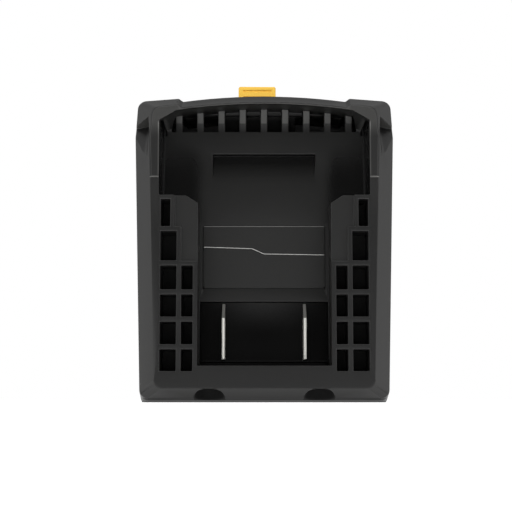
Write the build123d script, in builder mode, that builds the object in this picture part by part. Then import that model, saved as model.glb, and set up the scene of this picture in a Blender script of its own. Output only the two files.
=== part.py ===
# Slide-on battery adapter for a cordless tool, as an assembly of separate pieces.
# Millimetres. X runs across, Y from the open battery bay to the back, Z up.
# The origin is at the middle of the base, on the plane where the two shells meet.
import os

from build123d import *

os.makedirs("parts", exist_ok=True)

# Outline of the two shells where they meet
base_half_width = 41.3
cheek_half_width = 43.5
cheek_height = 86.0
ear_half_width = 42.7
ear_outer_height = 99.6
ear_inner_half_width = 28.1
ear_inner_height = 100.6
arch_half_width = 26.7
arch_end_height = 99.5
arch_height = 101.3
base_corner_radius = 2.6
ear_corner_radius = 3.0

# Depths of the front shell, counted forward from the parting plane
front_depth = 26.0
chamfer_depth = 5.0
flank_depth = front_depth - chamfer_depth
draft_inset = 1.3
chamfer_width = 5.0
chamfer_height = 3.0
base_rise = 1.4
flat_base_depth = 11.0
base_drop = base_rise * flat_base_depth / (flank_depth - flat_base_depth)
rim_height = 0.8
rim_start_height = 72.3
rim_inset = 0.3

# Walls, clearances and the length by which every cut runs past its face
wall = 2.4
fit_gap = 0.15
pin_gap = 0.05
overrun = 1.0

# Finger scoops in the cheeks
scoop_tip_half_width = 38.2
scoop_tip_height = 77.8
scoop_tip_depth = 25.0
scoop_top_half_width = 37.0
scoop_top_height = 90.4
scoop_top_depth = 19.4
scoop_top_drop = 1.6

# Battery bay
bay_floor_depth = 7.0
bay_half_width = 34.0
bay_corner_height = 90.8
bay_arch_half_width = 28.6
bay_arch_end_height = 94.1
bay_arch_height = 96.2
bay_bottom_height = 11.6
rail_half_gap = 21.4
rail_top_height = 66.5
groove_half_width = 30.0
groove_bottom_height = 14.0
groove_depth = 6.0
flange_drop = 1.5
flange_corner_width = 3.9
flange_corner_height = 2.5
upper_ledge_half_width = 28.9
upper_ledge_height = 56.1
lower_ledge_half_width = 26.8
lower_ledge_height = 45.0

# Ladder pockets in the front of the two rails, the lowest row first
pocket_depth = 10.0
pocket_rib = 1.7
pocket_base_height = 9.9
ladder_top_rib = 1.5
pocket_outer_edge = 33.3
wide_pocket_inner_edge = 28.2
top_pocket_inner_edge = 30.3
small_pocket_inner_edge = 22.95
small_pocket_outer_edge = 26.55
pocket_row_shares = (0.146, 0.152, 0.150, 0.163, 0.202, 0.187)
small_pocket_rows = 4

# Vent comb under the arch
tooth_count = 9
tooth_pitch = 7.2
tooth_width = 2.4
end_slot_width = 1.2
slot_bottom_height = 91.4
slat_kink_height = 94.35
slat_lean = 1.8
slat_overlap = 0.1
vault_front_depth = 24.5
vault_end_rise = 2.3
vault_mid_rise = 2.9
vault_end_height = bay_arch_end_height + vault_end_rise
vault_mid_height = bay_arch_height + vault_mid_rise
corner_notch_width = 1.0
corner_notch_bottom = 90.0
corner_notch_top = 93.3
corner_notch_front = 24.0
baffle_margin = 2.0
baffle_front = -2.2
baffle_back = -0.7
baffle_bottom_height = 91.4

# Catch pocket for the battery's own latch
catch_half_width = 17.25
catch_top_height = 83.5
catch_bottom_height = 74.9
catch_depth = 3.0
catch_pad_margin = 1.7

# Bare label plate
label_half_width = 20.4
label_bottom_height = 38.0
label_top_height = 59.0
label_thickness = 0.6
label_proud = 0.3
label_corner_radius = 0.8

# Terminal block and its two blades
window_top_height = 33.3
block_bottom_height = 13.2
block_face_depth = 6.4
block_flange_half_width = 25.0
block_flange_bottom = 5.5
block_flange_top = 37.0
block_flange_thickness = 2.0
block_ledge_thickness = 0.6
block_ledge_reach = 2.4
blade_x = 13.45
blade_thickness = 1.0
blade_front_depth = 14.0
blade_bottom_height = 14.0
blade_shoulder_height = 27.3
blade_tip_height = 32.6
blade_tip_depth = 7.6
blade_edge_bevel = 0.25
tail_bottom_height = 18.0
tail_top_height = 26.0
tail_reach = 3.4
tower_half_width = 2.5
tower_end = 0.8
tower_bottom_height = 15.0
tower_top_height = 30.0
block_screw_x = 16.0
block_screw_height = 8.5
block_screw_length = 9.0

# Round locating recesses in the base
recess_x = 17.6
recess_y = -21.4
recess_radius = 4.75
recess_height = 4.4

# Tray behind the bay floor
tray_half_width = 31.0
tray_bottom_height = 3.0
tray_top_height = 97.6
tray_corner_radius = 3.0
tray_depth = bay_floor_depth - wall

# Rear shell
rear_depth = 16.0
rear_flank_depth = 12.0
rear_draft_inset = 0.7
rear_chamfer_inset = 2.6
rear_base_rise = 1.0

# Slide foot that runs in the tool
foot_half_width = 30.0
foot_bottom_height = 8.0
foot_top_height = 80.0
foot_back = 27.0
foot_corner_radius = 2.0
foot_groove_depth = 5.0
foot_groove_front = 17.8
foot_groove_width = 5.0
foot_groove_top = 74.0
chamber_half_width = 20.0
chamber_top_height = 40.0
contact_x = 13.5
contact_slot_width = 3.0
contact_slot_front = 17.5
contact_slot_top = 32.0

# Screws, given by head radius, head height and shaft radius
shell_screw_x = 35.6
shell_screw_heights = (9.0, 88.0)
shell_screw_head_radius = 2.7
shell_screw_head_height = 2.0
shell_screw_radius = 1.45
shell_screw_seat = 9.0
shell_screw_bite = 8.0
shell_boss_radius = 4.4
shell_recess_radius = 3.0
small_head_radius = 2.1
small_head_height = 1.5
small_screw_radius = 1.1
screw_socket_sides = 6
screw_socket_share = 0.5
screw_socket_depth_share = 0.6

# Circuit board and what it carries
board_half_width = 30.5
board_bottom_height = 9.0
board_top_height = 50.0
board_front = 1.0
board_thickness = 1.6
board_back = board_front + board_thickness
board_corner_radius = 1.5
board_screw_x = 28.0
board_screw_heights = (12.0, 46.0)
board_boss_radius = 2.4
board_screw_length = 5.0
choke_size = 12.0
choke_height = 7.0
choke_z = 22.0
choke_edge_radius = 1.2
capacitor_radius = 4.0
capacitor_height = 10.0
capacitor_places = ((-22.0, 22.0), (22.0, 22.0), (22.0, 37.0))
transistor_width = 8.0
transistor_height = 10.0
transistor_thickness = 2.2
transistor_x = 5.0
transistor_z = 40.0
sink_half_width = 10.0
sink_half_height = 6.0
sink_base = 1.5
sink_fin_reach = 4.5
sink_fin_thickness = 1.0
sink_fin_count = 6
chip_size = 6.0
chip_thickness = 1.4
chip_places = ((-21.0, 37.0), (-21.0, 46.0))

# Contact carrier and the two spring contacts for the tool
carrier_half_width = 19.0
carrier_bottom_height = 11.0
carrier_top_height = 38.5
carrier_front = 14.9
carrier_pocket_front = 17.0
carrier_pocket_half_width = 2.7
carrier_pocket_top = 34.0
carrier_screw_heights = (16.0, 33.0)
carrier_screw_bite = 1.6
contact_back = 23.9
contact_base_half_width = 2.3
contact_base_thickness = 0.6
contact_pinch_half_gap = 0.5
contact_pinch_depth = 22.0
contact_mouth_half_gap = 1.1
contact_leaf_thickness = 0.5
contact_bottom_height = 13.0
contact_top_height = 30.0
contact_tail_front = 13.5
contact_tail_bottom = 26.0
contact_tail_top = 31.0
contact_tail_thickness = 1.0

# Insulated leads from the board to the contacts
lead_radius = 1.1
lead_sides = 12
lead_bend_radius = 2.0
lead_board_height = 44.0
lead_rise = 8.0
lead_drop = 10.0
lead_contact_height = 28.5

# Release latch, set off the middle as on the real piece
latch_x = -2.3
latch_half_width = 11.0
latch_plate_front = 8.2
latch_plate_back = 10.8
latch_plate_drop = 3.9
latch_plate_top = arch_height - latch_plate_drop
pivot_y = 9.5
pivot_z = 58.0
pivot_pin_radius = 1.25
latch_barrel_radius = 3.3
bracket_gap = 0.3
bracket_thickness = 2.0
bracket_front = 6.2
bracket_half_height = 3.5
tab_half_width = 6.5
tab_front = 4.5
tab_back = 9.6
tab_overlap = 3.4
tab_rise = 8.7
tab_top_height = arch_height + tab_rise
tab_edge_radius = 0.8
tab_grip_count = 3
tab_grip_pitch = 2.2
tab_grip_radius = 0.35
tab_grip_margin = 1.6
hook_half_width = 5.0
hook_tip = 18.8
hook_top_height = 91.0
hook_nose_height = 89.5
hook_bottom_height = 82.0
hook_window_gap = 0.4
hook_window_bottom = 83.3
hook_window_top = 92.3
tab_slot_gap = 0.4
tab_slot_back = 9.9
tab_slot_bottom = 97.0

# Compression spring behind the latch
spring_z = 88.0
spring_radius = 2.5
spring_wire_radius = 0.3
spring_wire_sides = 6
spring_turns = 6
spring_stub_radius = 1.9
spring_stub_length = 3.0


def shell_outline(plane, side_inset, top_inset, base_height):
    """Outer outline of the shells at one depth, drawn in by the insets."""
    half = [
        (base_half_width - side_inset, base_height),
        (cheek_half_width - side_inset, cheek_height),
        (ear_half_width - side_inset, ear_outer_height - top_inset),
        (ear_inner_half_width, ear_inner_height - top_inset),
        (arch_half_width, arch_end_height - top_inset),
    ]
    with BuildSketch(plane) as outline:
        with BuildLine():
            Polyline(half)
            Polyline([(-x, z) for x, z in half])
            Line((-half[0][0], base_height), half[0])
            ThreePointArc(half[-1], (0, arch_height - top_inset), (-half[-1][0], half[-1][1]))
        make_face()
        fillet(vertices().group_by(Axis.Y)[0], base_corner_radius)
        ears = vertices().filter_by(lambda v: v.Y > cheek_height + ear_corner_radius).sort_by(Axis.X)
        fillet([ears[0], ears[-1]], ear_corner_radius)
    return outline.sketch


def arched_face(plane, half_width, end_height, mid_height, flat_height):
    """Face between an arc below and a flat top, or a flat bottom and an arc above."""
    with BuildSketch(plane) as face:
        with BuildLine():
            Polyline(
                (half_width, end_height),
                (half_width, flat_height),
                (-half_width, flat_height),
                (-half_width, end_height),
            )
            ThreePointArc((half_width, end_height), (0, mid_height), (-half_width, end_height))
        make_face()
    return face.sketch


def bay_outline():
    """Opening of the battery bay, wide above the rails and narrow between them."""
    half = [
        (rail_half_gap, bay_bottom_height),
        (rail_half_gap, rail_top_height),
        (bay_half_width, rail_top_height),
        (bay_half_width, bay_corner_height),
        (bay_arch_half_width, bay_arch_end_height),
    ]
    with BuildSketch() as outline:
        with BuildLine():
            Polyline(half)
            Polyline([(-x, z) for x, z in half])
            Line((-half[0][0], bay_bottom_height), half[0])
            ThreePointArc(half[-1], (0, bay_arch_height), (-half[-1][0], half[-1][1]))
        make_face()
    return outline.sketch


def block(x_span, y_span, z_span, mode=Mode.ADD):
    """Box between three pairs of limits, in the part being built."""
    middle = [(low + high) / 2 for low, high in (x_span, y_span, z_span)]
    sides = [high - low for low, high in (x_span, y_span, z_span)]
    with Locations(tuple(middle)):
        Box(*sides, mode=mode)


def both_sides(inner, outer):
    """The span from inner to outer on the right, and its mirror on the left."""
    return (inner, outer), (-outer, -inner)


def rod(x, z, radius, y_from, y_to, mode=Mode.ADD):
    """Cylinder along Y, in the part being built."""
    with BuildSketch(Plane.XZ.offset(-y_from)) as section:
        with Locations((x, z)):
            Circle(radius)
    extrude(section.sketch, amount=y_from - y_to, mode=mode)


def screw(x, z, seat, tip, head_radius, head_height, radius):
    """Screw along Y whose head rests on seat, away from its tip, with a six-sided socket."""
    outward = 1 if seat > tip else -1
    rod(x, z, head_radius, seat, seat + outward * head_height)
    rod(x, z, radius, tip, seat)
    socket_depth = outward * head_height * screw_socket_depth_share
    socket_bottom = seat + outward * head_height - socket_depth
    with BuildSketch(Plane.XZ.offset(-socket_bottom)) as socket:
        with Locations((x, z)):
            RegularPolygon(head_radius * screw_socket_share, screw_socket_sides)
    extrude(socket.sketch, amount=-socket_depth, mode=Mode.SUBTRACT)


def save(part, name):
    """Label one finished piece and write it to its own file."""
    part.label = name
    export_step(part, f"parts/{name}.step")


# Front shell: drafted flanks, a wide front chamfer and a raised rim round the top
full_draft = draft_inset + chamfer_width
full_top_inset = draft_inset + chamfer_height
front_face = Plane.XZ.offset(front_depth)
bay_floor = Plane.XZ.offset(bay_floor_depth)
tray_floor = -tray_depth
pilot_radius = small_screw_radius + pin_gap
shell_screw_places = [(side * shell_screw_x, z) for side in (-1, 1) for z in shell_screw_heights]
board_screw_places = [(side * board_screw_x, z) for side in (-1, 1) for z in board_screw_heights]
slot_width = tooth_pitch - tooth_width
comb_half_width = tooth_pitch * (tooth_count - 1) / 2 + tooth_width / 2
vault_half_width = comb_half_width + end_slot_width
scoop_rise = scoop_top_height - scoop_tip_height
scoop_lean = (scoop_tip_depth - scoop_top_depth) / scoop_rise
scoop_length = scoop_rise * (1 + scoop_lean**2) ** 0.5
scoop_floor = Plane(
    origin=(0, -scoop_tip_depth, scoop_tip_height), x_dir=(1, 0, 0), z_dir=(0, -1, scoop_lean)
)
rail_front = -(bay_floor_depth + groove_depth)
pocket_space = (
    rail_top_height - ladder_top_rib - pocket_base_height - pocket_rib * (len(pocket_row_shares) - 1)
)

with BuildPart() as front_shell:
    loft(
        sections=[
            shell_outline(Plane.XZ, 0, 0, -base_drop),
            shell_outline(Plane.XZ.offset(flank_depth), draft_inset, draft_inset, base_rise),
            shell_outline(front_face, full_draft, full_top_inset, base_rise + chamfer_height),
        ],
        ruled=True,
    )
    with BuildSketch(front_face):
        add(shell_outline(Plane.XY, full_draft + rim_inset, full_top_inset + rim_inset, base_rise))
        with Locations((0, rim_start_height)):
            Rectangle(
                2 * cheek_half_width, rim_start_height, align=(Align.CENTER, Align.MAX), mode=Mode.SUBTRACT
            )
    extrude(amount=rim_height)
    split(bisect_by=Plane.XY, keep=Keep.TOP)

    # Leaf-shaped finger scoops, deepest at the top
    for side in (-1, 1):
        with BuildSketch(scoop_floor):
            with BuildLine():
                Polyline(
                    (side * scoop_tip_half_width, 0),
                    (side * scoop_top_half_width, scoop_length),
                    (side * cheek_half_width, scoop_length - scoop_top_drop),
                    (side * cheek_half_width, 0),
                    close=True,
                )
            make_face()
        extrude(amount=chamfer_depth + overrun, mode=Mode.SUBTRACT)

    # Battery bay, and the grooves behind its two rails
    with BuildSketch(bay_floor):
        add(bay_outline())
    extrude(amount=front_depth + rim_height + overrun - bay_floor_depth, mode=Mode.SUBTRACT)
    for span in both_sides(rail_half_gap - overrun, groove_half_width):
        block(
            span,
            (rail_front, -bay_floor_depth),
            (groove_bottom_height, rail_top_height + overrun),
            mode=Mode.SUBTRACT,
        )

    # Stepped lead-in on the rails, lower than the front face
    for ledge_x, ledge_z, ledge_top in (
        (upper_ledge_half_width, upper_ledge_height, rail_top_height + overrun),
        (lower_ledge_half_width, lower_ledge_height, upper_ledge_height),
    ):
        for span in both_sides(rail_half_gap - overrun, ledge_x):
            block(
                span,
                (-front_depth - overrun, -front_depth + flange_drop),
                (ledge_z, ledge_top),
                mode=Mode.SUBTRACT,
            )
    for side in (-1, 1):
        with BuildSketch(bay_floor):
            with BuildLine():
                Polyline(
                    (side * rail_half_gap, rail_top_height - flange_corner_height),
                    (side * (rail_half_gap + flange_corner_width), rail_top_height),
                    (side * (rail_half_gap + flange_corner_width), rail_top_height + overrun),
                    (side * (rail_half_gap - overrun), rail_top_height + overrun),
                    (side * (rail_half_gap - overrun), rail_top_height - flange_corner_height),
                    close=True,
                )
            make_face()
        extrude(amount=front_depth, mode=Mode.SUBTRACT)

    # Blind ladder pockets that core out the rails
    with BuildSketch(front_face):
        row_bottom = pocket_base_height
        for row, share in enumerate(pocket_row_shares):
            row_height = pocket_space * share
            columns = [(wide_pocket_inner_edge, pocket_outer_edge)]
            if row == len(pocket_row_shares) - 1:
                columns = [(top_pocket_inner_edge, pocket_outer_edge)]
            if row < small_pocket_rows:
                columns.append((small_pocket_inner_edge, small_pocket_outer_edge))
            for inner, outer in columns:
                for low, high in both_sides(inner, outer):
                    with Locations(((low + high) / 2, row_bottom + row_height / 2)):
                        Rectangle(high - low, row_height)
            row_bottom += row_height + pocket_rib
    extrude(amount=-pocket_depth, mode=Mode.SUBTRACT)

    # Tray behind the bay floor, with the pad that backs the catch pocket and the
    # baffle that closes the view from the vent slots to the latch
    with BuildSketch(Plane.XZ):
        with Locations((0, (tray_bottom_height + tray_top_height) / 2)):
            RectangleRounded(
                2 * tray_half_width, tray_top_height - tray_bottom_height, tray_corner_radius
            )
    extrude(amount=tray_depth, mode=Mode.SUBTRACT)
    block(
        (-catch_half_width - catch_pad_margin, catch_half_width + catch_pad_margin),
        (tray_floor, tray_floor + catch_depth),
        (catch_bottom_height - catch_pad_margin, catch_top_height + catch_pad_margin),
    )
    block(
        (latch_x - latch_half_width - baffle_margin, latch_x + latch_half_width + baffle_margin),
        (baffle_front, baffle_back),
        (baffle_bottom_height, tray_top_height + overrun),
    )
    with BuildSketch(Plane.YZ):
        with BuildLine():
            Polyline(
                (-bay_floor_depth - overrun, catch_top_height),
                (-bay_floor_depth + catch_depth, catch_top_height),
                (-bay_floor_depth, catch_bottom_height),
                (-bay_floor_depth - overrun, catch_bottom_height),
                close=True,
            )
        make_face()
    extrude(amount=catch_half_width, both=True, mode=Mode.SUBTRACT)

    # Vault that rises behind the front arch
    loft(
        sections=[
            arched_face(
                Plane.XZ.offset(vault_front_depth),
                bay_arch_half_width,
                bay_arch_end_height,
                bay_arch_height,
                rail_top_height,
            ),
            arched_face(
                bay_floor, vault_half_width, vault_end_height, vault_mid_height, rail_top_height
            ),
        ],
        ruled=True,
        mode=Mode.SUBTRACT,
    )

    # Vent slots at the back of the vault, and a narrow one at each end
    with BuildSketch(bay_floor):
        with Locations((0, slot_bottom_height)):
            with GridLocations(tooth_pitch, 0, tooth_count - 1, 1):
                Rectangle(
                    slot_width,
                    vault_mid_height - slot_bottom_height,
                    align=(Align.CENTER, Align.MIN),
                )
            with GridLocations(2 * comb_half_width + end_slot_width, 0, 2, 1):
                Rectangle(
                    end_slot_width,
                    vault_mid_height - slot_bottom_height,
                    align=(Align.CENTER, Align.MIN),
                )
        vault_end = arched_face(
            Plane.XY, vault_half_width, vault_end_height, vault_mid_height, rail_top_height
        )
        add(vault_end, mode=Mode.INTERSECT)
    extrude(amount=tray_depth - overrun - bay_floor_depth, mode=Mode.SUBTRACT)

    # Slats between the slots, which lean forward into the vault
    for place in range(tooth_count):
        slat_x = tooth_pitch * (place - (tooth_count - 1) / 2)
        with BuildSketch(Plane.YZ.offset(slat_x)):
            with BuildLine():
                Polyline(
                    (tray_floor, slat_kink_height),
                    (-bay_floor_depth, slat_kink_height),
                    (-bay_floor_depth - slat_lean, vault_mid_height + slat_overlap),
                    (tray_floor, vault_mid_height + slat_overlap),
                    close=True,
                )
            make_face()
        extrude(amount=tooth_width / 2, both=True)
    for span in both_sides(bay_half_width - corner_notch_width, bay_half_width):
        block(
            span,
            (-corner_notch_front, -bay_floor_depth + overrun),
            (corner_notch_bottom, corner_notch_top),
            mode=Mode.SUBTRACT,
        )

    # Window for the terminal block, label recess and locating recesses
    block(
        (-rail_half_gap, rail_half_gap),
        (-bay_floor_depth - overrun, tray_floor + overrun),
        (bay_bottom_height, window_top_height),
        mode=Mode.SUBTRACT,
    )
    with BuildSketch(bay_floor):
        with Locations((0, (label_bottom_height + label_top_height) / 2)):
            RectangleRounded(
                2 * (label_half_width + fit_gap),
                label_top_height - label_bottom_height + 2 * fit_gap,
                label_corner_radius,
            )
    extrude(amount=-(label_thickness - label_proud), mode=Mode.SUBTRACT)
    with Locations([(side * recess_x, recess_y, 0) for side in (-1, 1)]):
        Cylinder(
            recess_radius,
            recess_height,
            align=(Align.CENTER, Align.CENTER, Align.MIN),
            mode=Mode.SUBTRACT,
        )

    # Bosses for the board and the spring, and pilot holes for every screw
    for x, z in board_screw_places:
        rod(x, z, board_boss_radius, tray_floor, board_front)
        rod(x, z, pilot_radius, board_back - board_screw_length, board_front + overrun, Mode.SUBTRACT)
    rod(latch_x, spring_z, spring_stub_radius, tray_floor, tray_floor + spring_stub_length)
    for x, z in shell_screw_places:
        rod(x, z, shell_screw_radius + pin_gap, -shell_screw_bite - overrun, 0, mode=Mode.SUBTRACT)
    for side in (-1, 1):
        rod(
            side * block_screw_x,
            block_screw_height,
            pilot_radius,
            tray_floor - block_screw_length,
            tray_floor + overrun,
            mode=Mode.SUBTRACT,
        )
save(front_shell.part, "front_shell")


# Rear shell: drafted back, slide foot, brackets for the latch pivot
rear_wall_front = rear_depth - wall
rear_flank = Plane.XZ.offset(-rear_flank_depth)
rear_face = Plane.XZ.offset(-rear_depth)
shell_screw_hole_radius = shell_screw_radius + fit_gap
bracket_inner = latch_half_width + bracket_gap

with BuildPart() as rear_shell:
    loft(
        sections=[
            shell_outline(Plane.XZ, 0, 0, -base_drop),
            shell_outline(rear_flank, rear_draft_inset, rear_draft_inset, -base_drop),
            shell_outline(rear_face, rear_chamfer_inset, rear_chamfer_inset, rear_base_rise),
        ],
        ruled=True,
    )
    split(bisect_by=Plane.XY, keep=Keep.TOP)
    with BuildSketch(rear_face):
        with Locations((0, (foot_bottom_height + foot_top_height) / 2)):
            RectangleRounded(
                2 * foot_half_width, foot_top_height - foot_bottom_height, foot_corner_radius
            )
    extrude(amount=rear_depth - foot_back)
    for span in both_sides(foot_half_width - foot_groove_depth, foot_half_width + overrun):
        block(
            span,
            (foot_groove_front, foot_groove_front + foot_groove_width),
            (foot_bottom_height - overrun, foot_groove_top),
            mode=Mode.SUBTRACT,
        )

    # Hollow body, contact chamber and the slots that let the tool's blades in
    with BuildSketch(Plane.XZ):
        add(shell_outline(Plane.XY, wall, wall, wall))
    extrude(amount=-rear_wall_front, mode=Mode.SUBTRACT)
    block(
        (-chamber_half_width, chamber_half_width),
        (rear_wall_front - overrun, foot_back - wall),
        (foot_bottom_height + wall, chamber_top_height),
        mode=Mode.SUBTRACT,
    )
    for side in (-1, 1):
        slot_span = (side * contact_x - contact_slot_width / 2, side * contact_x + contact_slot_width / 2)
        block(
            slot_span,
            (foot_back - wall - overrun, foot_back + overrun),
            (foot_bottom_height - overrun, contact_slot_top),
            mode=Mode.SUBTRACT,
        )
        block(
            slot_span,
            (contact_slot_front, foot_back),
            (foot_bottom_height - overrun, foot_bottom_height + wall + overrun),
            mode=Mode.SUBTRACT,
        )

    # Windows for the latch hook and its tab, and the ears that carry the pivot pin
    block(
        (latch_x - hook_half_width - hook_window_gap, latch_x + hook_half_width + hook_window_gap),
        (rear_wall_front - overrun, rear_depth + overrun),
        (hook_window_bottom, hook_window_top),
        mode=Mode.SUBTRACT,
    )
    block(
        (latch_x - tab_half_width - tab_slot_gap, latch_x + tab_half_width + tab_slot_gap),
        (-overrun, tab_slot_back),
        (tab_slot_bottom, arch_height + overrun),
        mode=Mode.SUBTRACT,
    )
    for side in (-1, 1):
        near = latch_x + side * bracket_inner
        far = near + side * bracket_thickness
        block(
            (min(near, far), max(near, far)),
            (bracket_front, rear_wall_front),
            (pivot_z - bracket_half_height, pivot_z + bracket_half_height),
        )
    with Locations(Location((latch_x, pivot_y, pivot_z), (0, 90, 0))):
        Cylinder(
            pivot_pin_radius + pin_gap, 2 * (bracket_inner + bracket_thickness + overrun), mode=Mode.SUBTRACT
        )

    # Bosses and countersunk seats for the shell screws, pilots for the carrier
    for x, z in shell_screw_places:
        rod(x, z, shell_boss_radius, 0, rear_wall_front)
        rod(x, z, shell_screw_hole_radius, -overrun, rear_depth + overrun, Mode.SUBTRACT)
        rod(x, z, shell_recess_radius, shell_screw_seat, rear_depth + overrun, Mode.SUBTRACT)
    for z in carrier_screw_heights:
        rod(0, z, pilot_radius, rear_wall_front, foot_back - wall + carrier_screw_bite, Mode.SUBTRACT)
save(rear_shell.part, "rear_shell")

# Terminal block: the plug that closes the window and the flange behind the floor
with BuildPart() as terminal_block:
    block(
        (-rail_half_gap + fit_gap, rail_half_gap - fit_gap),
        (-block_face_depth, tray_floor),
        (block_bottom_height, window_top_height - fit_gap),
    )
    block(
        (-block_flange_half_width, block_flange_half_width),
        (tray_floor, tray_floor + block_flange_thickness),
        (block_flange_bottom, block_flange_top),
    )
    block(
        (-rail_half_gap + fit_gap, rail_half_gap - fit_gap),
        (-block_face_depth - block_ledge_reach, -block_face_depth),
        (block_bottom_height, block_bottom_height + block_ledge_thickness),
    )
    for side in (-1, 1):
        x = side * blade_x
        block(
            (x - tower_half_width, x + tower_half_width),
            (tray_floor, tower_end),
            (tower_bottom_height, tower_top_height),
        )
        half_slot = blade_thickness / 2 + pin_gap
        block(
            (x - half_slot, x + half_slot),
            (-block_face_depth - overrun, tower_end + overrun),
            (tail_bottom_height - pin_gap, tail_top_height + pin_gap),
            mode=Mode.SUBTRACT,
        )
        rod(
            side * block_screw_x,
            block_screw_height,
            small_screw_radius + fit_gap,
            tray_floor - overrun,
            tray_floor + block_flange_thickness + overrun,
            Mode.SUBTRACT,
        )
save(terminal_block.part, "terminal_block")

# Battery blades: tapered at the top, with a tail that passes the block and the board
for side, name in ((-1, "blade_negative"), (1, "blade_positive")):
    with BuildPart() as blade:
        with BuildSketch(Plane.YZ.offset(side * blade_x)):
            with BuildLine():
                Polyline(
                    (-block_face_depth, blade_bottom_height),
                    (-blade_front_depth, blade_bottom_height),
                    (-blade_front_depth, blade_shoulder_height),
                    (-blade_tip_depth, blade_tip_height),
                    (-block_face_depth, blade_tip_height),
                    (-block_face_depth, tail_top_height),
                    (tail_reach, tail_top_height),
                    (tail_reach, tail_bottom_height),
                    (-block_face_depth, tail_bottom_height),
                    close=True,
                )
            make_face()
        extrude(amount=blade_thickness / 2, both=True)
        working_edges = blade.faces().sort_by(Axis.Y)[0].edges().filter_by(Axis.Z)
        chamfer(working_edges, blade_edge_bevel)
    save(blade.part, name)

# Bare plate in the label's place
with BuildPart() as label_plate:
    with BuildSketch(Plane.XZ.offset(bay_floor_depth + label_proud)):
        with Locations((0, (label_bottom_height + label_top_height) / 2)):
            RectangleRounded(
                2 * label_half_width, label_top_height - label_bottom_height, label_corner_radius
            )
    extrude(amount=-label_thickness)
save(label_plate.part, "label_plate")

# Release latch: barrel on the pivot pin, plate, finger tab and hook
with BuildPart() as release_latch:
    block(
        (latch_x - tab_half_width, latch_x + tab_half_width),
        (tab_front, tab_back),
        (latch_plate_top - tab_overlap, tab_top_height),
    )
    fillet(release_latch.faces().sort_by(Axis.Z)[-1].edges().filter_by(Axis.Y), tab_edge_radius)
    block(
        (latch_x - latch_half_width, latch_x + latch_half_width),
        (latch_plate_front, latch_plate_back),
        (pivot_z, latch_plate_top),
    )
    with Locations(Location((latch_x, pivot_y, pivot_z), (0, 90, 0))):
        Cylinder(latch_barrel_radius, 2 * latch_half_width)
    with BuildSketch(Plane.YZ.offset(latch_x)):
        with BuildLine():
            Polyline(
                (latch_plate_back, hook_bottom_height),
                (hook_tip, hook_nose_height),
                (hook_tip, hook_top_height),
                (latch_plate_back, hook_top_height),
                close=True,
            )
        make_face()
    extrude(amount=hook_half_width, both=True)
    rod(latch_x, spring_z, spring_stub_radius, latch_plate_front - spring_stub_length, latch_plate_front)
    for row in range(tab_grip_count):
        grip_z = tab_top_height - tab_grip_margin - row * tab_grip_pitch
        with Locations(Location((latch_x, tab_front, grip_z), (0, 90, 0))):
            Cylinder(tab_grip_radius, 2 * (tab_half_width - tab_grip_margin), mode=Mode.SUBTRACT)
    with Locations(Location((latch_x, pivot_y, pivot_z), (0, 90, 0))):
        Cylinder(pivot_pin_radius + pin_gap, 2 * (latch_half_width + overrun), mode=Mode.SUBTRACT)
save(release_latch.part, "release_latch")

with BuildPart() as latch_pivot_pin:
    with Locations(Location((latch_x, pivot_y, pivot_z), (0, 90, 0))):
        Cylinder(pivot_pin_radius, 2 * (bracket_inner + bracket_thickness))
save(latch_pivot_pin.part, "latch_pivot_pin")

# Compression spring between the bay floor and the latch, one unbroken wire
spring_start = tray_floor + spring_wire_radius + pin_gap
spring_end = latch_plate_front - spring_wire_radius - pin_gap
with BuildPart() as latch_spring:
    with BuildLine():
        wire_path = Helix(
            (spring_end - spring_start) / spring_turns,
            spring_end - spring_start,
            spring_radius,
            center=(latch_x, spring_start, spring_z),
            direction=(0, 1, 0),
        )
    with BuildSketch(Plane(origin=wire_path @ 0, z_dir=wire_path % 0)):
        RegularPolygon(spring_wire_radius, spring_wire_sides)
    sweep()
save(latch_spring.part, "latch_spring")

# Circuit board on its bosses
board_mid_height = (board_bottom_height + board_top_height) / 2
with BuildPart() as circuit_board:
    with BuildSketch(Plane.XZ.offset(-board_front)):
        with Locations((0, board_mid_height)):
            RectangleRounded(
                2 * board_half_width, board_top_height - board_bottom_height, board_corner_radius
            )
        with Locations(board_screw_places):
            Circle(pilot_radius, mode=Mode.SUBTRACT)
        with Locations([(side * blade_x, (tail_bottom_height + tail_top_height) / 2) for side in (-1, 1)]):
            Rectangle(
                blade_thickness + 2 * pin_gap,
                tail_top_height - tail_bottom_height + 2 * pin_gap,
                mode=Mode.SUBTRACT,
            )
    extrude(amount=-board_thickness)
save(circuit_board.part, "circuit_board")

with BuildPart() as power_choke:
    block(
        (-choke_size / 2, choke_size / 2),
        (board_back, board_back + choke_height),
        (choke_z - choke_size / 2, choke_z + choke_size / 2),
    )
    fillet(power_choke.edges().filter_by(Axis.Y), choke_edge_radius)
save(power_choke.part, "power_choke")

with BuildPart() as capacitors:
    for x, z in capacitor_places:
        rod(x, z, capacitor_radius, board_back, board_back + capacitor_height)
save(capacitors.part, "capacitors")

with BuildPart() as power_transistors:
    for side in (-1, 1):
        block(
            (side * transistor_x - transistor_width / 2, side * transistor_x + transistor_width / 2),
            (board_back, board_back + transistor_thickness),
            (transistor_z - transistor_height / 2, transistor_z + transistor_height / 2),
        )
save(power_transistors.part, "power_transistors")

# Finned heat sink clamped over the transistors
sink_front = board_back + transistor_thickness
with BuildPart() as heat_sink:
    block(
        (-sink_half_width, sink_half_width),
        (sink_front, sink_front + sink_base),
        (transistor_z - sink_half_height, transistor_z + sink_half_height),
    )
    fin_pitch = (2 * sink_half_width - sink_fin_thickness) / (sink_fin_count - 1)
    for fin in range(sink_fin_count):
        fin_x = -sink_half_width + fin * fin_pitch
        block(
            (fin_x, fin_x + sink_fin_thickness),
            (sink_front, sink_front + sink_base + sink_fin_reach),
            (transistor_z - sink_half_height, transistor_z + sink_half_height),
        )
save(heat_sink.part, "heat_sink")

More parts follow.
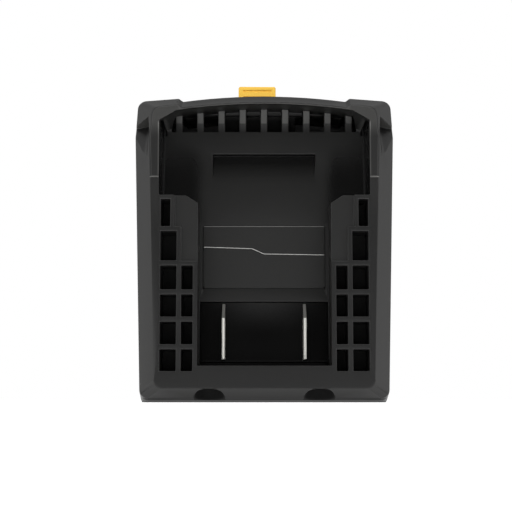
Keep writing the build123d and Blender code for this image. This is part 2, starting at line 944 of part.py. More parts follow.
with BuildPart() as control_chips:
    for x, z in chip_places:
        block(
            (x - chip_size / 2, x + chip_size / 2),
            (board_back, board_back + chip_thickness),
            (z - chip_size / 2, z + chip_size / 2),
        )
save(control_chips.part, "control_chips")

# Contact carrier with one open pocket for each spring contact
carrier_back = foot_back - wall
with BuildPart() as contact_carrier:
    block(
        (-carrier_half_width, carrier_half_width),
        (carrier_front, carrier_back),
        (carrier_bottom_height, carrier_top_height),
    )
    for side in (-1, 1):
        x = side * contact_x
        block(
            (x - carrier_pocket_half_width, x + carrier_pocket_half_width),
            (carrier_pocket_front, carrier_back + overrun),
            (carrier_bottom_height - overrun, carrier_pocket_top),
            mode=Mode.SUBTRACT,
        )
        half_tail = contact_tail_thickness / 2 + pin_gap
        block(
            (x - half_tail, x + half_tail),
            (carrier_front - overrun, carrier_pocket_front + overrun),
            (contact_tail_bottom - pin_gap, contact_tail_top + pin_gap),
            mode=Mode.SUBTRACT,
        )
    for z in carrier_screw_heights:
        rod(
            0, z, small_screw_radius + fit_gap, carrier_front - overrun, carrier_back + overrun, Mode.SUBTRACT
        )
save(contact_carrier.part, "contact_carrier")

# Spring contacts: two leaves that pinch the tool's blade and flare at the mouth
for side, name in ((-1, "tool_contact_negative"), (1, "tool_contact_positive")):
    x = side * contact_x
    leaf = [
        (contact_base_half_width, carrier_pocket_front),
        (contact_base_half_width, carrier_pocket_front + contact_base_thickness),
        (contact_pinch_half_gap + contact_leaf_thickness, contact_pinch_depth),
        (contact_mouth_half_gap + contact_leaf_thickness, contact_back),
        (contact_mouth_half_gap, contact_back),
        (contact_pinch_half_gap, contact_pinch_depth),
        (contact_base_half_width - contact_leaf_thickness, carrier_pocket_front + contact_base_thickness),
    ]
    with BuildPart() as tool_contact:
        with BuildSketch(Plane.XY.offset(contact_bottom_height)):
            with BuildLine():
                Polyline(
                    [(x + dx, y) for dx, y in leaf] + [(x - dx, y) for dx, y in reversed(leaf)],
                    close=True,
                )
            make_face()
        extrude(amount=contact_top_height - contact_bottom_height)
        block(
            (x - contact_tail_thickness / 2, x + contact_tail_thickness / 2),
            (contact_tail_front, carrier_pocket_front),
            (contact_tail_bottom, contact_tail_top),
        )
    save(tool_contact.part, name)

# Insulated leads from the board to the tails of the contacts
for side, name in ((-1, "lead_negative"), (1, "lead_positive")):
    x = side * contact_x
    with BuildPart() as lead:
        with BuildLine():
            FilletPolyline(
                (x, board_back, lead_board_height),
                (x, lead_rise, lead_board_height),
                (x, lead_drop, lead_contact_height),
                (x, contact_tail_front, lead_contact_height),
                radius=lead_bend_radius,
            )
        with BuildSketch(Plane.XZ.offset(-board_back)):
            with Locations((x, lead_board_height)):
                RegularPolygon(lead_radius, lead_sides)
        sweep()
    save(lead.part, name)

# Fasteners, one group of solids for each kind
with BuildPart() as shell_screws:
    for x, z in shell_screw_places:
        screw(
            x,
            z,
            shell_screw_seat,
            -shell_screw_bite,
            shell_screw_head_radius,
            shell_screw_head_height,
            shell_screw_radius,
        )
save(shell_screws.part, "shell_screws")

with BuildPart() as board_screws:
    for x, z in board_screw_places:
        screw(
            x,
            z,
            board_back,
            board_back - board_screw_length + overrun,
            small_head_radius,
            small_head_height,
            small_screw_radius,
        )
save(board_screws.part, "board_screws")

block_flange_back = tray_floor + block_flange_thickness
with BuildPart() as block_screws:
    for side in (-1, 1):
        screw(
            side * block_screw_x,
            block_screw_height,
            block_flange_back,
            tray_floor - block_screw_length + overrun,
            small_head_radius,
            small_head_height,
            small_screw_radius,
        )
save(block_screws.part, "block_screws")

with BuildPart() as carrier_screws:
    for z in carrier_screw_heights:
        screw(
            0,
            z,
            carrier_front,
            carrier_back + carrier_screw_bite - pin_gap,
            small_head_radius,
            small_head_height,
            small_screw_radius,
        )
save(carrier_screws.part, "carrier_screws")
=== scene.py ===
"""Looks of a slide-on battery adapter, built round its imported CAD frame. Lengths are in metres."""
import math
from typing import NamedTuple

import bmesh
import bpy
from bpy.props import FloatProperty, FloatVectorProperty, IntProperty, PointerProperty
from bpy.types import Operator, Panel, PropertyGroup
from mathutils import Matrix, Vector
from mathutils.geometry import intersect_point_line


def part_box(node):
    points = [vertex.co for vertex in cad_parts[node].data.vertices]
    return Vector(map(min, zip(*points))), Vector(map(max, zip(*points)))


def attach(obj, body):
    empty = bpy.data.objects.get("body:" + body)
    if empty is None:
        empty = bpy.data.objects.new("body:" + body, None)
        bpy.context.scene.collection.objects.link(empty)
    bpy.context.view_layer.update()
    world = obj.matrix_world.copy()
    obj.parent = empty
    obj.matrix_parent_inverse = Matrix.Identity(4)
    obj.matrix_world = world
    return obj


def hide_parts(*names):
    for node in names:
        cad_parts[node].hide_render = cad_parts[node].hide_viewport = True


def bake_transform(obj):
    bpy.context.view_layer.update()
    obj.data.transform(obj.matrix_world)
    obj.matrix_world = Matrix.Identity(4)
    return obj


bl_info = {
    "name": "Battery Adapter",
    "version": (1, 0, 0),
    "blender": (4, 5, 0),
    "location": "View3D > Sidebar > Adapter",
    "description": "Dresses the battery adapter's frame with rounded mouldings and worked materials",
    "category": "Object",
}

HOUSING = "housing"
LATCH = "latch"
MM = 0.001

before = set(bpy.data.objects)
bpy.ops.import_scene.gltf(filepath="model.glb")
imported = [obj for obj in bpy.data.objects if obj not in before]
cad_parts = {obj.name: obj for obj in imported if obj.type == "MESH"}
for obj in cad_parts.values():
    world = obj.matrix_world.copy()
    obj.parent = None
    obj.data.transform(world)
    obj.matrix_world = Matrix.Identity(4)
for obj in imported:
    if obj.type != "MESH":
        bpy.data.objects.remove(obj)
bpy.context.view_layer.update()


# Sizes and colours that a user may change

def length(name, text, default):
    """A length property in metres, given in millimetres."""
    return FloatProperty(
        name=name, description=text, default=default * MM, min=0.0, precision=5,
        unit="LENGTH", subtype="DISTANCE"
    )


def brightness(name, text, default):
    """A lamp's level, with no upper limit."""
    return FloatProperty(name=name, description=text, default=default, min=0.0)


def share(name, text, default):
    """A property from 0 to 1."""
    return FloatProperty(name=name, description=text, default=default, min=0.0, max=1.0, subtype="FACTOR")


def colour(name, text, default):
    """A linear colour property."""
    return FloatVectorProperty(
        name=name, description=text, default=default, size=3, min=0.0, max=1.0, subtype="COLOR"
    )


class CaseSettings(PropertyGroup):
    shell_colour: colour("Shell colour", "Charcoal plastic of both shells", (0.011, 0.0109, 0.0104))
    shell_edge_colour: colour("Shell edge colour", "Colour of the rubbed edges", (0.04, 0.04, 0.039))
    shell_roughness: share("Shell roughness", "Roughness of the moulded faces", 0.42)
    edge_radius: length("Edge radius", "Rounding of the moulded edges", 0.3)
    scoop_radius: length("Scoop radius", "Softer rounding of the finger scoops in the cheeks", 1.6)
    grain_pitch: length("Grain pitch", "Spacing of the fine moulded grain", 0.28)
    grain_depth: length("Grain depth", "Depth of the fine moulded grain", 0.012)
    # Painted shade: how much darker the bay floor, its walls and other shaded places are painted; in the bay
    # it also sets how much smoother the battery has polished them
    polish_and_shade: share("Slide polish", "How far the battery has polished the bay", 0.75)
    # Painted shade inside the shells, the vents, the pockets and the recesses
    cavity_shade: share("Cavity shade", "How much darker the unfinished inside of the shells is", 0.85)
    # Painted highlights on the arch, the rim, the slats and the scoops, and painted shade on the front of the
    # base
    painted_light_strength: share("Handling", "How far hands have rubbed the arch, the rim and the scoops", 0.5)


class LatchSettings(PropertyGroup):
    tab_colour: colour("Tab colour", "Yellow plastic of the release latch", (0.98, 0.6, 0.08))
    tab_edge_colour: colour("Tab edge colour", "Lighter colour of its edges", (0.85, 0.47, 0.05))
    tab_roughness: share("Tab roughness", "Roughness of the latch", 0.42)
    tab_edge_radius: length("Tab edge radius", "Rounding of the latch's edges", 0.3)
    spring_turns: IntProperty(name="Spring turns", description="Turns of the latch spring", default=6, min=2)
    spring_radius: length("Spring radius", "Middle of the wire to the spring's axis", 2.5)
    spring_wire: length("Spring wire", "Radius of the spring's wire", 0.3)


class TerminalSettings(PropertyGroup):
    block_colour: colour("Block colour", "Glossy plastic of the terminal block", (0.004, 0.004, 0.004))
    block_roughness: share("Block roughness", "Roughness of the terminal block", 0.16)
    blade_colour: colour("Blade colour", "Nickel plating of the blades", (0.93, 0.92, 0.86))
    blade_roughness: share("Blade roughness", "Roughness of the blades", 0.5)
    blade_edge_radius: length("Blade edge radius", "Rounding of the blades' edges", 0.16)


class LabelSettings(PropertyGroup):
    plate_colour: colour("Plate colour", "Bare plate in the label's place", (0.014, 0.014, 0.0135))
    # Painted highlight: a pale strip along the plate's top edge, where the edge catches the light
    edge_highlight_colour: colour("Border colour", "Printed line along the top of the plate", (0.16, 0.16, 0.155))
    divider_colour: colour("Divider colour", "Printed line across the plate", (0.62, 0.62, 0.6))
    line_width: length("Line width", "Width of the printed lines", 0.2)
    line_thickness: length("Line thickness", "Height of the ink over the plate", 0.02)
    line_inset: length("Line inset", "Border line to the edge of the plate", 0.25)


class ScrewSettings(PropertyGroup):
    screw_colour: colour("Screw colour", "Dark zinc of the screws", (0.3, 0.3, 0.32))
    head_radius: length("Head radius", "Radius of the shell screws' heads", 2.7)
    head_edge: length("Head edge", "Rounding of the screw heads", 0.35)


class ElectronicsSettings(PropertyGroup):
    mask_colour: colour("Solder mask", "Green of the circuit board", (0.02, 0.13, 0.05))
    trace_colour: colour("Trace colour", "Board over its copper traces", (0.05, 0.22, 0.1))
    ferrite_colour: colour("Ferrite colour", "Pressed body of the choke", (0.05, 0.05, 0.055))
    sleeve_colour: colour("Sleeve colour", "Plastic sleeve of the capacitors", (0.02, 0.03, 0.08))
    epoxy_colour: colour("Epoxy colour", "Bodies of the chips and transistors", (0.02, 0.02, 0.022))
    aluminium_colour: colour("Aluminium colour", "Heat sink and capacitor cans", (0.75, 0.76, 0.78))
    red_colour: colour("Red lead", "Insulation of the positive lead", (0.55, 0.025, 0.02))
    black_colour: colour("Black lead", "Insulation of the negative lead", (0.015, 0.015, 0.015))


class StageSettings(PropertyGroup):
    floor_colour: colour("Floor colour", "Pale floor and backdrop", (0.7, 0.7, 0.7))
    top_level: brightness("Top level", "Brightness of the top soft box", 0.7)
    side_level: brightness("Side level", "Brightness of the side soft boxes", 0.42)
    front_level: brightness("Front level", "Brightness of the front soft box", 1.5)
    world_level: share("Room level", "Light from the room itself", 1.0)
    focal_length: FloatProperty(
        name="Focal length", description="Camera lens in millimetres", default=85.2, min=1.0
    )
    camera_place: FloatVectorProperty(
        name="Camera place", description="Where the camera stands", default=(-0.0027, -0.411, 0.0008),
        size=3, unit="LENGTH", subtype="TRANSLATION"
    )
    camera_pitch: FloatProperty(
        name="Camera pitch", description="Upward tilt of the camera", default=math.radians(6.776),
        unit="ROTATION", subtype="ANGLE"
    )


SETTING_GROUPS = {
    "adapter_case": CaseSettings,
    "adapter_latch": LatchSettings,
    "adapter_terminal": TerminalSettings,
    "adapter_label": LabelSettings,
    "adapter_screw": ScrewSettings,
    "adapter_electronics": ElectronicsSettings,
    "adapter_stage": StageSettings,
}


# Shader node groups that several finishes share. The patterns' scales are per millimetre.

WEAR_SAMPLES = 6
WEAR_GAIN = 7.0
WEAR_SCALE = 0.9
NOISE_DETAIL = 3.0
GRAIN_DETAIL = 2.0
GRAIN_ROUGHNESS = 0.6
CLOUD_SCALE = 0.06
SPECKLE = 0.35
GLOSS_SWING = 0.8
STREAK_SCALE = 0.5


def new_group(name, inputs, outputs):
    """An empty shader node group with inputs at their defaults, and its two end nodes."""
    tree = bpy.data.node_groups.new(name, "ShaderNodeTree")
    for label, default in inputs.items():
        kind = "NodeSocketVector" if isinstance(default, tuple) else "NodeSocketFloat"
        tree.interface.new_socket(name=label, in_out="INPUT", socket_type=kind).default_value = default
    for label in outputs:
        tree.interface.new_socket(name=label, in_out="OUTPUT", socket_type="NodeSocketFloat")
    return tree, tree.nodes.new("NodeGroupInput"), tree.nodes.new("NodeGroupOutput")


def math_node(tree, operation, first, second=None, third=None, clamp=False):
    """One Math node. Each value is a number or a socket."""
    node = tree.nodes.new("ShaderNodeMath")
    node.operation = operation
    node.use_clamp = clamp
    for place, value in enumerate((first, second, third)):
        if value is None:
            continue
        if isinstance(value, (int, float)):
            node.inputs[place].default_value = value
        else:
            tree.links.new(value, node.inputs[place])
    return node.outputs[0]


def mix_colour(tree, factor, first, second, blend="MIX"):
    """One colour Mix node."""
    node = tree.nodes.new("ShaderNodeMix")
    node.data_type = "RGBA"
    node.blend_type = blend
    for name, value in (("Factor_Float", factor), ("A_Color", first), ("B_Color", second)):
        socket = next(s for s in node.inputs if s.identifier == name)
        if isinstance(value, (int, float)):
            socket.default_value = value
        elif isinstance(value, tuple):
            socket.default_value = (*value, 1.0)
        else:
            tree.links.new(value, socket)
    return next(s for s in node.outputs if s.identifier == "Result_Color")


def millimetre_coordinates(tree):
    """Object coordinates in millimetres."""
    place = tree.nodes.new("ShaderNodeTexCoord")
    scaled = tree.nodes.new("ShaderNodeVectorMath")
    scaled.operation = "SCALE"
    scaled.inputs["Scale"].default_value = 1 / MM
    tree.links.new(place.outputs["Object"], scaled.inputs[0])
    return scaled.outputs[0]


def noise(tree, vector, scale, detail, roughness=0.5):
    """One noise value. The scale is per millimetre."""
    node = tree.nodes.new("ShaderNodeTexNoise")
    node.inputs["Detail"].default_value = detail
    node.inputs["Roughness"].default_value = roughness
    tree.links.new(vector, node.inputs["Vector"])
    if isinstance(scale, (int, float)):
        node.inputs["Scale"].default_value = scale
    else:
        tree.links.new(scale, node.inputs["Scale"])
    return node.outputs["Fac"]


def split_axes(tree, vector):
    """The X, Y and Z sockets of a vector."""
    node = tree.nodes.new("ShaderNodeSeparateXYZ")
    tree.links.new(vector, node.inputs[0])
    return node.outputs


def lean_from(tree, direction):
    """0 on a face that looks that way, up to 2 on one that looks the other way."""
    geometry = tree.nodes.new("ShaderNodeNewGeometry")
    dot = tree.nodes.new("ShaderNodeVectorMath")
    dot.operation = "DOT_PRODUCT"
    tree.links.new(direction, dot.inputs[0])
    tree.links.new(geometry.outputs["Normal"], dot.inputs[1])
    return math_node(tree, "SUBTRACT", 1.0, dot.outputs["Value"])


def swing(tree, value, amount):
    """A value from 0 to 1 as a swing about 0."""
    return math_node(tree, "MULTIPLY", math_node(tree, "SUBTRACT", value, 0.5), amount)


def edge_wear_group():
    """Mask that is 1 on the rubbed edges of a piece and 0 on its faces."""
    tree, start, end = new_group("Edge Wear", {"Width": 0.5 * MM, "Strength": 1.0}, ["Mask"])
    rounded = tree.nodes.new("ShaderNodeBevel")
    rounded.samples = WEAR_SAMPLES
    tree.links.new(start.outputs["Width"], rounded.inputs["Radius"])
    lean = math_node(tree, "MULTIPLY", lean_from(tree, rounded.outputs["Normal"]), WEAR_GAIN, clamp=True)
    broken = noise(tree, millimetre_coordinates(tree), WEAR_SCALE, NOISE_DETAIL)
    mask = math_node(tree, "MULTIPLY", lean, broken)
    mask = math_node(tree, "MULTIPLY", mask, start.outputs["Strength"], clamp=True)
    tree.links.new(mask, end.inputs["Mask"])
    return tree


def moulded_grain_group():
    """Fine spark-eroded grain, with the soft clouding of a handled moulding."""
    tree, start, end = new_group(
        "Moulded Grain", {"Pitch": 0.28, "Clouding": 0.1}, ["Height", "Tint", "Gloss"]
    )
    spot = millimetre_coordinates(tree)
    per_mm = math_node(tree, "DIVIDE", 1.0, start.outputs["Pitch"])
    grain = noise(tree, spot, per_mm, GRAIN_DETAIL, GRAIN_ROUGHNESS)
    cloud = noise(tree, spot, CLOUD_SCALE, NOISE_DETAIL)
    tree.links.new(grain, end.inputs["Height"])
    uneven = swing(tree, cloud, start.outputs["Clouding"])
    speckle = swing(tree, grain, SPECKLE)
    tint = math_node(tree, "ADD", math_node(tree, "ADD", uneven, speckle), 1.0)
    gloss = math_node(tree, "ADD", math_node(tree, "MULTIPLY", uneven, GLOSS_SWING), 1.0)
    tree.links.new(tint, end.inputs["Tint"])
    tree.links.new(gloss, end.inputs["Gloss"])
    return tree


def drawn_streaks_group():
    """Fine streaks along one axis, as rolling or drawing leaves on metal."""
    tree, start, end = new_group(
        "Drawn Streaks", {"Stretch": (20.0, 20.0, 1.0), "Contrast": 0.2}, ["Height", "Tint"]
    )
    stretched = tree.nodes.new("ShaderNodeVectorMath")
    stretched.operation = "MULTIPLY"
    tree.links.new(millimetre_coordinates(tree), stretched.inputs[0])
    tree.links.new(start.outputs["Stretch"], stretched.inputs[1])
    streak = noise(tree, stretched.outputs[0], STREAK_SCALE, NOISE_DETAIL, GRAIN_ROUGHNESS)
    tree.links.new(streak, end.inputs["Height"])
    tint = swing(tree, streak, start.outputs["Contrast"])
    tree.links.new(math_node(tree, "ADD", tint, 1.0), end.inputs["Tint"])
    return tree


def soft_box_group():
    """Mask that is 1 inside a box with soft edges, the same on the left and the right, in millimetres.

    With a facing direction, it fades out on faces that lean from it by more than the spread.
    """
    given = {
        "Centre": (0.0, 0.0, 0.0), "Half Size": (1.0, 1.0, 1.0), "Softness": (0.1, 0.1, 0.1),
        "Facing": (0.0, 0.0, 0.0), "Spread": 1.0,
    }
    tree, start, end = new_group("Soft Box", given, ["Mask"])
    spot = split_axes(tree, millimetre_coordinates(tree))
    sockets = (start.outputs[name] for name in ("Centre", "Half Size", "Softness"))
    centre, half, soft = (split_axes(tree, socket) for socket in sockets)
    mask = 1.0
    for axis in range(3):
        here = math_node(tree, "ABSOLUTE", spot[axis]) if axis == 0 else spot[axis]
        away = math_node(tree, "ABSOLUTE", math_node(tree, "SUBTRACT", here, centre[axis]))
        depth = math_node(tree, "SUBTRACT", math_node(tree, "ADD", half[axis], soft[axis]), away)
        fade = math_node(tree, "MULTIPLY", soft[axis], 2.0)
        share_in = math_node(tree, "DIVIDE", depth, fade, clamp=True)
        # Eased as 3 s^2 - 2 s^3, so that the edge of the box doesn't show
        eased = math_node(tree, "SUBTRACT", 3.0, math_node(tree, "MULTIPLY", share_in, 2.0))
        eased = math_node(tree, "MULTIPLY", eased, math_node(tree, "MULTIPLY", share_in, share_in))
        mask = math_node(tree, "MULTIPLY", eased, mask)
    lean = lean_from(tree, start.outputs["Facing"])
    apart = math_node(tree, "DIVIDE", lean, start.outputs["Spread"])
    faced = math_node(tree, "SUBTRACT", 2.0, apart, clamp=True)
    tree.links.new(math_node(tree, "MULTIPLY", mask, faced), end.inputs["Mask"])
    return tree


GROUP_MAKERS = {
    "Soft Box": soft_box_group,
    "Edge Wear": edge_wear_group,
    "Moulded Grain": moulded_grain_group,
    "Drawn Streaks": drawn_streaks_group,
}


def place_group(tree, name, **values):
    """A shared group placed in a material, with its inputs set by name."""
    made = bpy.data.node_groups.get(name) or GROUP_MAKERS[name]()
    node = tree.nodes.new("ShaderNodeGroup")
    node.node_tree = made
    for label, value in values.items():
        node.inputs[label.replace("_", " ").title()].default_value = value
    return node


def new_material(name):
    """An empty material and its Principled shader."""
    material = bpy.data.materials.new(name)
    material.use_nodes = True
    return material, material.node_tree, material.node_tree.nodes["Principled BSDF"]


class Zone(NamedTuple):
    """Box in millimetres where a finish is darker and smoother, or paler and rougher below 0."""

    centre: tuple
    half_size: tuple
    softness: tuple
    darker: float
    smoother: float = 0.0
    facing: tuple = (0.0, 0.0, 0.0)
    spread: float = 1.0

    def tone_worked_in(self, tree, tint, rough):
        """The colour and the roughness with this zone worked in."""
        mask = place_group(
            tree, "Soft Box", centre=self.centre, half_size=self.half_size, softness=self.softness,
            facing=self.facing, spread=self.spread
        ).outputs["Mask"]
        kept = math_node(tree, "SUBTRACT", 1.0, math_node(tree, "MULTIPLY", mask, self.darker))
        tint = mix_colour(tree, 1.0, tint, kept, "MULTIPLY")
        kept = math_node(tree, "SUBTRACT", 1.0, math_node(tree, "MULTIPLY", mask, self.smoother))
        return tint, math_node(tree, "MULTIPLY", rough, kept)


def feed(tree, shader, tint, rough, height, depth, zones=()):
    """Feeds the shader a colour and roughness with the zones worked in, and a relief that deep."""
    for zone in zones:
        tint, rough = zone.tone_worked_in(tree, tint, rough)
    tree.links.new(tint, shader.inputs["Base Color"])
    tree.links.new(rough, shader.inputs["Roughness"])
    relief = tree.nodes.new("ShaderNodeBump")
    relief.inputs["Strength"].default_value = 1.0
    relief.inputs["Distance"].default_value = depth
    tree.links.new(height, relief.inputs["Height"])
    tree.links.new(relief.outputs["Normal"], shader.inputs["Normal"])


def moulded_plastic(
    name, base, edge, roughness, pitch, depth, clouding=0.15, wear=0.6, wear_width=0.4 * MM,
    zones=(), gloss=0.5
):
    """Moulded plastic with fine grain, faint clouding, paler edges and zones of painted shade and painted
    highlight.
    """
    material, tree, shader = new_material(name)
    shader.inputs["Specular IOR Level"].default_value = gloss
    grain = place_group(tree, "Moulded Grain", pitch=pitch / MM, clouding=clouding)
    rub = place_group(tree, "Edge Wear", width=wear_width, strength=wear)
    tinted = mix_colour(tree, 1.0, tuple(base), grain.outputs["Tint"], "MULTIPLY")
    tint = mix_colour(tree, rub.outputs["Mask"], tinted, tuple(edge))
    rough = math_node(tree, "MULTIPLY", grain.outputs["Gloss"], roughness, clamp=True)
    feed(tree, shader, tint, rough, grain.outputs["Height"], depth, zones)
    return material


def plated_metal(name, base, roughness, stretch, contrast=0.25, depth=0.004 * MM, zones=(), metallic=1.0):
    """Plated or drawn metal with fine streaks along its length, as metallic as given."""
    material, tree, shader = new_material(name)
    streaks = place_group(tree, "Drawn Streaks", stretch=stretch, contrast=contrast)
    tint = mix_colour(tree, 1.0, tuple(base), streaks.outputs["Tint"], "MULTIPLY")
    rough = math_node(tree, "MULTIPLY", streaks.outputs["Tint"], roughness, clamp=True)
    shader.inputs["Metallic"].default_value = metallic
    feed(tree, shader, tint, rough, streaks.outputs["Height"], depth, zones)
    return material


# Objects and pieces

def put_in_scene(name, data):
    """A new object at the origin that holds the data."""
    item = bpy.data.objects.new(name, data)
    bpy.context.scene.collection.objects.link(item)
    return item


def finished_mesh(bm, name, material):
    """The bmesh as a mesh with one material. It frees the bmesh."""
    bmesh.ops.triangulate(bm, faces=[face for face in bm.faces if len(face.verts) > 4])
    mesh = bpy.data.meshes.new(name)
    bm.to_mesh(mesh)
    bm.free()
    mesh.materials.append(material)
    return mesh


def declare(piece, body, nodes):
    """Says which body carries the piece, which CAD nodes it stands for.

    A piece with no body is left unattached.
    """
    if body:
        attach(piece, body)
    if nodes:
        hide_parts(*nodes)
    return piece


def dress(node, material):
    """Gives a CAD node, as it is, a worked material."""
    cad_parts[node].material_slots[0].material = material


def settings(name):
    """One of the scene's groups of settings."""
    return getattr(bpy.context.scene, name)


# Geometry Nodes helpers

COIL_STEPS = 24
WIRE_SIDES = 10
# How much closer the turns lie at the spring's ends, and a screw's largest chance turn in radians
END_CLOSING = 0.6
LARGEST_TURN = 1.0


def new_geometry_tree(name, *labels, kind="Float"):
    """An empty geometry tree that takes a mesh, inputs of one kind and a material, with its end nodes."""
    tree = bpy.data.node_groups.new(name, "GeometryNodeTree")
    inputs = (("Geometry", "Geometry"), *((label, kind) for label in labels), ("Material", "Material"))
    for label, made in inputs:
        tree.interface.new_socket(name=label, in_out="INPUT", socket_type=f"NodeSocket{made}")
    tree.interface.new_socket(name="Geometry", in_out="OUTPUT", socket_type="NodeSocketGeometry")
    return tree, tree.nodes.new("NodeGroupInput"), tree.nodes.new("NodeGroupOutput")


def finish_tree(tree, start, end, geometry):
    """Ends a geometry tree in real mesh with the given material."""
    real = tree.nodes.new("GeometryNodeRealizeInstances")
    tree.links.new(geometry, real.inputs[0])
    dressed = tree.nodes.new("GeometryNodeSetMaterial")
    tree.links.new(real.outputs[0], dressed.inputs["Geometry"])
    tree.links.new(start.outputs["Material"], dressed.inputs["Material"])
    tree.links.new(dressed.outputs[0], end.inputs["Geometry"])
    return tree


def grown_piece(name, seed, tree, values, body, nodes=()):
    """A plain mesh grown from the seed mesh by a geometry tree, as a piece of its own."""
    holder = put_in_scene(f"{name}_seed", seed)
    grower = holder.modifiers.new("Grow", "NODES")
    grower.node_group = tree
    for item in tree.interface.items_tree:
        if item.in_out == "INPUT" and item.name in values:
            grower[item.identifier] = values[item.name]
    graph = bpy.context.evaluated_depsgraph_get()
    graph.update()
    mesh = bpy.data.meshes.new_from_object(holder.evaluated_get(graph), depsgraph=graph)
    holder.modifiers.clear()
    bpy.data.objects.remove(holder)
    if not mesh.polygons:
        raise RuntimeError(f"{name} grew no faces")
    mesh.name = name
    return declare(put_in_scene(name, mesh), body, nodes)


def rule_tree():
    """Flat strips along the edges of the seed mesh, for printed lines and painted highlights."""
    tree, start, end = new_geometry_tree("Printed Rules", "Width", "Thickness")
    path = tree.nodes.new("GeometryNodeMeshToCurve")
    tree.links.new(start.outputs["Geometry"], path.inputs["Mesh"])
    profile = tree.nodes.new("GeometryNodeCurvePrimitiveQuadrilateral")
    tree.links.new(start.outputs["Thickness"], profile.inputs["Width"])
    tree.links.new(start.outputs["Width"], profile.inputs["Height"])
    strip = tree.nodes.new("GeometryNodeCurveToMesh")
    tree.links.new(path.outputs[0], strip.inputs["Curve"])
    tree.links.new(profile.outputs[0], strip.inputs["Profile Curve"])
    strip.inputs["Fill Caps"].default_value = True
    return finish_tree(tree, start, end, strip.outputs[0])


def coil_tree():
    """Round wire wound about +Y, with closer turns at both ends. The seed is one point at its foot."""
    tree, start, end = new_geometry_tree("Wound Coil", "Turns", "Radius", "Length", "Wire")
    spiral = tree.nodes.new("GeometryNodeCurveSpiral")
    spiral.inputs["Resolution"].default_value = COIL_STEPS
    for label in ("Start Radius", "End Radius"):
        tree.links.new(start.outputs["Radius"], spiral.inputs[label])
    tree.links.new(start.outputs["Turns"], spiral.inputs["Rotations"])
    tree.links.new(start.outputs["Length"], spiral.inputs["Height"])
    along = tree.nodes.new("GeometryNodeSplineParameter")
    wave = math_node(tree, "SINE", math_node(tree, "MULTIPLY", along.outputs["Factor"], math.tau))
    drawn_in = math_node(tree, "MULTIPLY", wave, -END_CLOSING / math.tau)
    shift = math_node(tree, "MULTIPLY", drawn_in, start.outputs["Length"])
    offset = tree.nodes.new("ShaderNodeCombineXYZ")
    tree.links.new(shift, offset.inputs["Z"])
    closed = tree.nodes.new("GeometryNodeSetPosition")
    tree.links.new(spiral.outputs[0], closed.inputs["Geometry"])
    tree.links.new(offset.outputs[0], closed.inputs["Offset"])
    ring = tree.nodes.new("GeometryNodeCurvePrimitiveCircle")
    ring.inputs["Resolution"].default_value = WIRE_SIDES
    tree.links.new(start.outputs["Wire"], ring.inputs["Radius"])
    wire = tree.nodes.new("GeometryNodeCurveToMesh")
    tree.links.new(closed.outputs[0], wire.inputs["Curve"])
    tree.links.new(ring.outputs[0], wire.inputs["Profile Curve"])
    wire.inputs["Fill Caps"].default_value = True
    placed = tree.nodes.new("GeometryNodeInstanceOnPoints")
    tree.links.new(start.outputs["Geometry"], placed.inputs["Points"])
    tree.links.new(wire.outputs[0], placed.inputs["Instance"])
    placed.inputs["Rotation"].default_value = (-math.pi / 2, 0.0, 0.0)
    smooth = tree.nodes.new("GeometryNodeSetShadeSmooth")
    tree.links.new(placed.outputs[0], smooth.inputs[0])
    return finish_tree(tree, start, end, smooth.outputs[0])


def repeat_tree():
    """One pattern object repeated at each point of the seed mesh, each turned about Y by chance."""
    tree, start, end = new_geometry_tree("Repeated Fastener", "Pattern", kind="Object")
    pattern = tree.nodes.new("GeometryNodeObjectInfo")
    tree.links.new(start.outputs["Pattern"], pattern.inputs["Object"])
    placed = tree.nodes.new("GeometryNodeInstanceOnPoints")
    tree.links.new(start.outputs["Geometry"], placed.inputs["Points"])
    tree.links.new(pattern.outputs["Geometry"], placed.inputs["Instance"])
    turned = tree.nodes.new("FunctionNodeRandomValue")
    turned.data_type = "FLOAT"
    spin = tree.nodes.new("ShaderNodeCombineXYZ")
    angle = next(o for o in turned.outputs if o.enabled)
    next(i for i in turned.inputs if i.enabled and i.name == "Max").default_value = LARGEST_TURN
    tree.links.new(angle, spin.inputs["Y"])
    tree.links.new(spin.outputs[0], placed.inputs["Rotation"])
    return finish_tree(tree, start, end, placed.outputs[0])


def point_mesh(name, points, edges=()):
    """A seed mesh of loose points, or of points joined by edges."""
    mesh = bpy.data.meshes.new(name)
    mesh.from_pydata(points, edges, [])
    return mesh


# Mesh helpers

SHARP = math.radians(28)
FLAT = math.radians(0.5)
SMOOTH = math.radians(35)
MERGE = 0.002 * MM
ROUND_STEPS = 2
NORMAL_WEIGHT = 80
# Places along an edge where its rounding is tried, and the room it needs as a share of its radius
TRIED_AT = (0.1, 0.5, 0.9)
ROOM_TO_ROUNDED = 1.05
ROOM_TO_OTHER = 0.3


def merged_copy(node):
    """The CAD node's shape with its loose triangles joined into whole faces."""
    bm = bmesh.new()
    bm.from_mesh(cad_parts[node].data)
    bmesh.ops.remove_doubles(bm, verts=bm.verts, dist=MERGE)
    bmesh.ops.dissolve_limit(bm, angle_limit=FLAT, verts=bm.verts, edges=bm.edges)
    return bm


def inside(edge, low, high):
    """True if the edge's middle lies in the box, on the left or the right."""
    middle = sum((vert.co for vert in edge.verts), Vector()) / 2
    spot = (abs(middle.x), middle.y, middle.z)
    return all(a <= value <= b for a, value, b in zip(low, spot, high))


def sharp_edges(bm, radius, region=None):
    """Edges that stand out sharply and are longer than their rounding."""
    return {
        edge for edge in bm.edges
        if edge.is_manifold and edge.calc_face_angle() > SHARP and edge.calc_length() > radius
        and (region is None or inside(edge, *region))
    }


